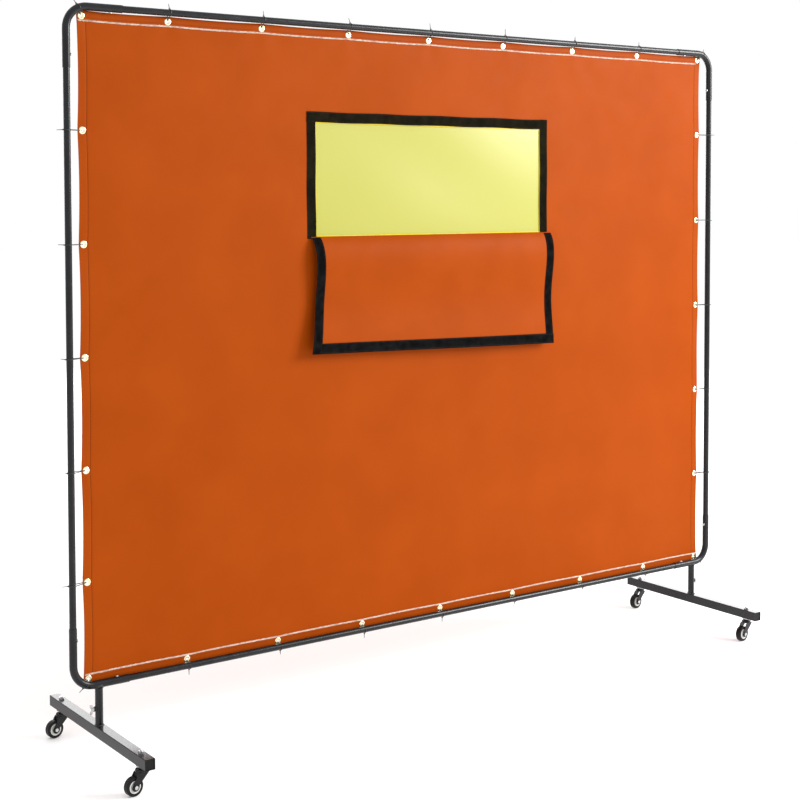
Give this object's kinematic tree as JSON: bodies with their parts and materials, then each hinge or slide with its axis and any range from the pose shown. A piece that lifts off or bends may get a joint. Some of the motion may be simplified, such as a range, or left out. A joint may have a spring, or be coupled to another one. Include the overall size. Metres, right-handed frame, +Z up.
{
  "type": "welding curtain screen",
  "caption": "Mobile welding screen: a coated fabric curtain with a flap-covered clear window, tied in a tube frame on swivel-caster feet.",
  "frame": {"origin": "on the floor, under the middle of the stand", "axes": "+Z up, +X along the curtain's width to the right seen from the front, -Y towards the front, where the window flap hangs"},
  "size_m": [2.532, 0.6, 2.071],
  "materials": {
    "powder_coat": "semi-gloss black powder coat",
    "zinc": "zinc plated",
    "plug": "moulded",
    "tyre": "satin",
    "rim": "moulded",
    "coated_fabric": "silicone-coated glass fibre cloth, orange",
    "tape": "hook-and-loop tape",
    "pane": "clear yellow-green film"
  },
  "bodies": {
    "screen": {"top_left_elbow": "powder_coat", "top_left_post_screw": "zinc", "top_left_rail_screw": "zinc", "top_right_elbow": "powder_coat", "top_right_post_screw": "zinc", "top_right_rail_screw": "zinc", "bottom_left_elbow": "powder_coat", "bottom_left_post_screw": "zinc", "bottom_left_rail_screw": "zinc", "bottom_right_elbow": "powder_coat", "bottom_right_post_screw": "zinc", "bottom_right_rail_screw": "zinc", "left_post": "powder_coat", "right_post": "powder_coat", "top_rail": "powder_coat", "bottom_rail": "powder_coat", "left_foot_bar": "powder_coat", "left_front_end_plug": "plug", "left_front_caster_stem": "zinc", "left_front_caster_stem_nut": "zinc", "left_rear_end_plug": "plug", "left_rear_caster_stem": "zinc", "left_rear_caster_stem_nut": "zinc", "right_foot_bar": "powder_coat", "right_front_end_plug": "plug", "right_front_caster_stem": "zinc", "right_front_caster_stem_nut": "zinc", "right_rear_end_plug": "plug", "right_rear_caster_stem": "zinc", "right_rear_caster_stem_nut": "zinc", "curtain": "coated_fabric", "window_pane": "pane", "window_hook_tape": "tape"},
    "left_front_caster_swivel": {"left_front_caster_fork": "powder_coat", "left_front_caster_axle_bolt": "zinc", "left_front_caster_axle_nut": "zinc"},
    "left_front_caster_wheel": {"left_front_caster_tyre": "tyre", "left_front_caster_rim": "rim"},
    "left_rear_caster_swivel": {"left_rear_caster_fork": "powder_coat", "left_rear_caster_axle_bolt": "zinc", "left_rear_caster_axle_nut": "zinc"},
    "left_rear_caster_wheel": {"left_rear_caster_tyre": "tyre", "left_rear_caster_rim": "rim"},
    "left_clamp": {"left_wing_bolt": "zinc"},
    "right_front_caster_swivel": {"right_front_caster_fork": "powder_coat", "right_front_caster_axle_bolt": "zinc", "right_front_caster_axle_nut": "zinc"},
    "right_front_caster_wheel": {"right_front_caster_tyre": "tyre", "right_front_caster_rim": "rim"},
    "right_rear_caster_swivel": {"right_rear_caster_fork": "powder_coat", "right_rear_caster_axle_bolt": "zinc", "right_rear_caster_axle_nut": "zinc"},
    "right_rear_caster_wheel": {"right_rear_caster_tyre": "tyre", "right_rear_caster_rim": "rim"},
    "right_clamp": {"right_wing_bolt": "zinc"},
    "flap": {"window_flap": "coated_fabric", "window_flap_loop_tape": "tape"}
  },
  "joints": [
    {"name": "left_front_caster_turn", "type": "hinge", "parent": "screen", "child": "left_front_caster_swivel", "pos_m": [-1.18, -0.25, 0.0765], "axis": [0, 0, 1], "continuous": true},
    {"name": "left_front_caster_roll", "type": "hinge", "parent": "left_front_caster_swivel", "child": "left_front_caster_wheel", "pos_m": [-1.20437, -0.25256, 0.0254], "axis": [0.1045, -0.9945, 0], "continuous": true},
    {"name": "left_rear_caster_turn", "type": "hinge", "parent": "screen", "child": "left_rear_caster_swivel", "pos_m": [-1.18, 0.25, 0.0765], "axis": [0, 0, 1], "continuous": true},
    {"name": "left_rear_caster_roll", "type": "hinge", "parent": "left_rear_caster_swivel", "child": "left_rear_caster_wheel", "pos_m": [-1.20437, 0.24744, 0.0254], "axis": [0.1045, -0.9945, 0], "continuous": true},
    {"name": "left_clamp_turn", "type": "hinge", "parent": "screen", "child": "left_clamp", "pos_m": [-1.18, 0, 0.1525], "axis": [-1, 0, 0], "range_deg": [0, 270]},
    {"name": "right_front_caster_turn", "type": "hinge", "parent": "screen", "child": "right_front_caster_swivel", "pos_m": [1.18, -0.25, 0.0765], "axis": [0, 0, 1], "continuous": true},
    {"name": "right_front_caster_roll", "type": "hinge", "parent": "right_front_caster_swivel", "child": "right_front_caster_wheel", "pos_m": [1.15563, -0.25256, 0.0254], "axis": [0.1045, -0.9945, 0], "continuous": true},
    {"name": "right_rear_caster_turn", "type": "hinge", "parent": "screen", "child": "right_rear_caster_swivel", "pos_m": [1.18, 0.25, 0.0765], "axis": [0, 0, 1], "continuous": true},
    {"name": "right_rear_caster_roll", "type": "hinge", "parent": "right_rear_caster_swivel", "child": "right_rear_caster_wheel", "pos_m": [1.15563, 0.24744, 0.0254], "axis": [0.1045, -0.9945, 0], "continuous": true},
    {"name": "right_clamp_turn", "type": "hinge", "parent": "screen", "child": "right_clamp", "pos_m": [1.18, 0, 0.1525], "axis": [1, 0, 0], "range_deg": [0, 270]},
    {"name": "window_flap_lift", "type": "hinge", "parent": "screen", "child": "flap", "pos_m": [0.015, 0.00745, 1.431], "axis": [-1, 0, 0], "range_deg": [0, 178]}
  ]
}
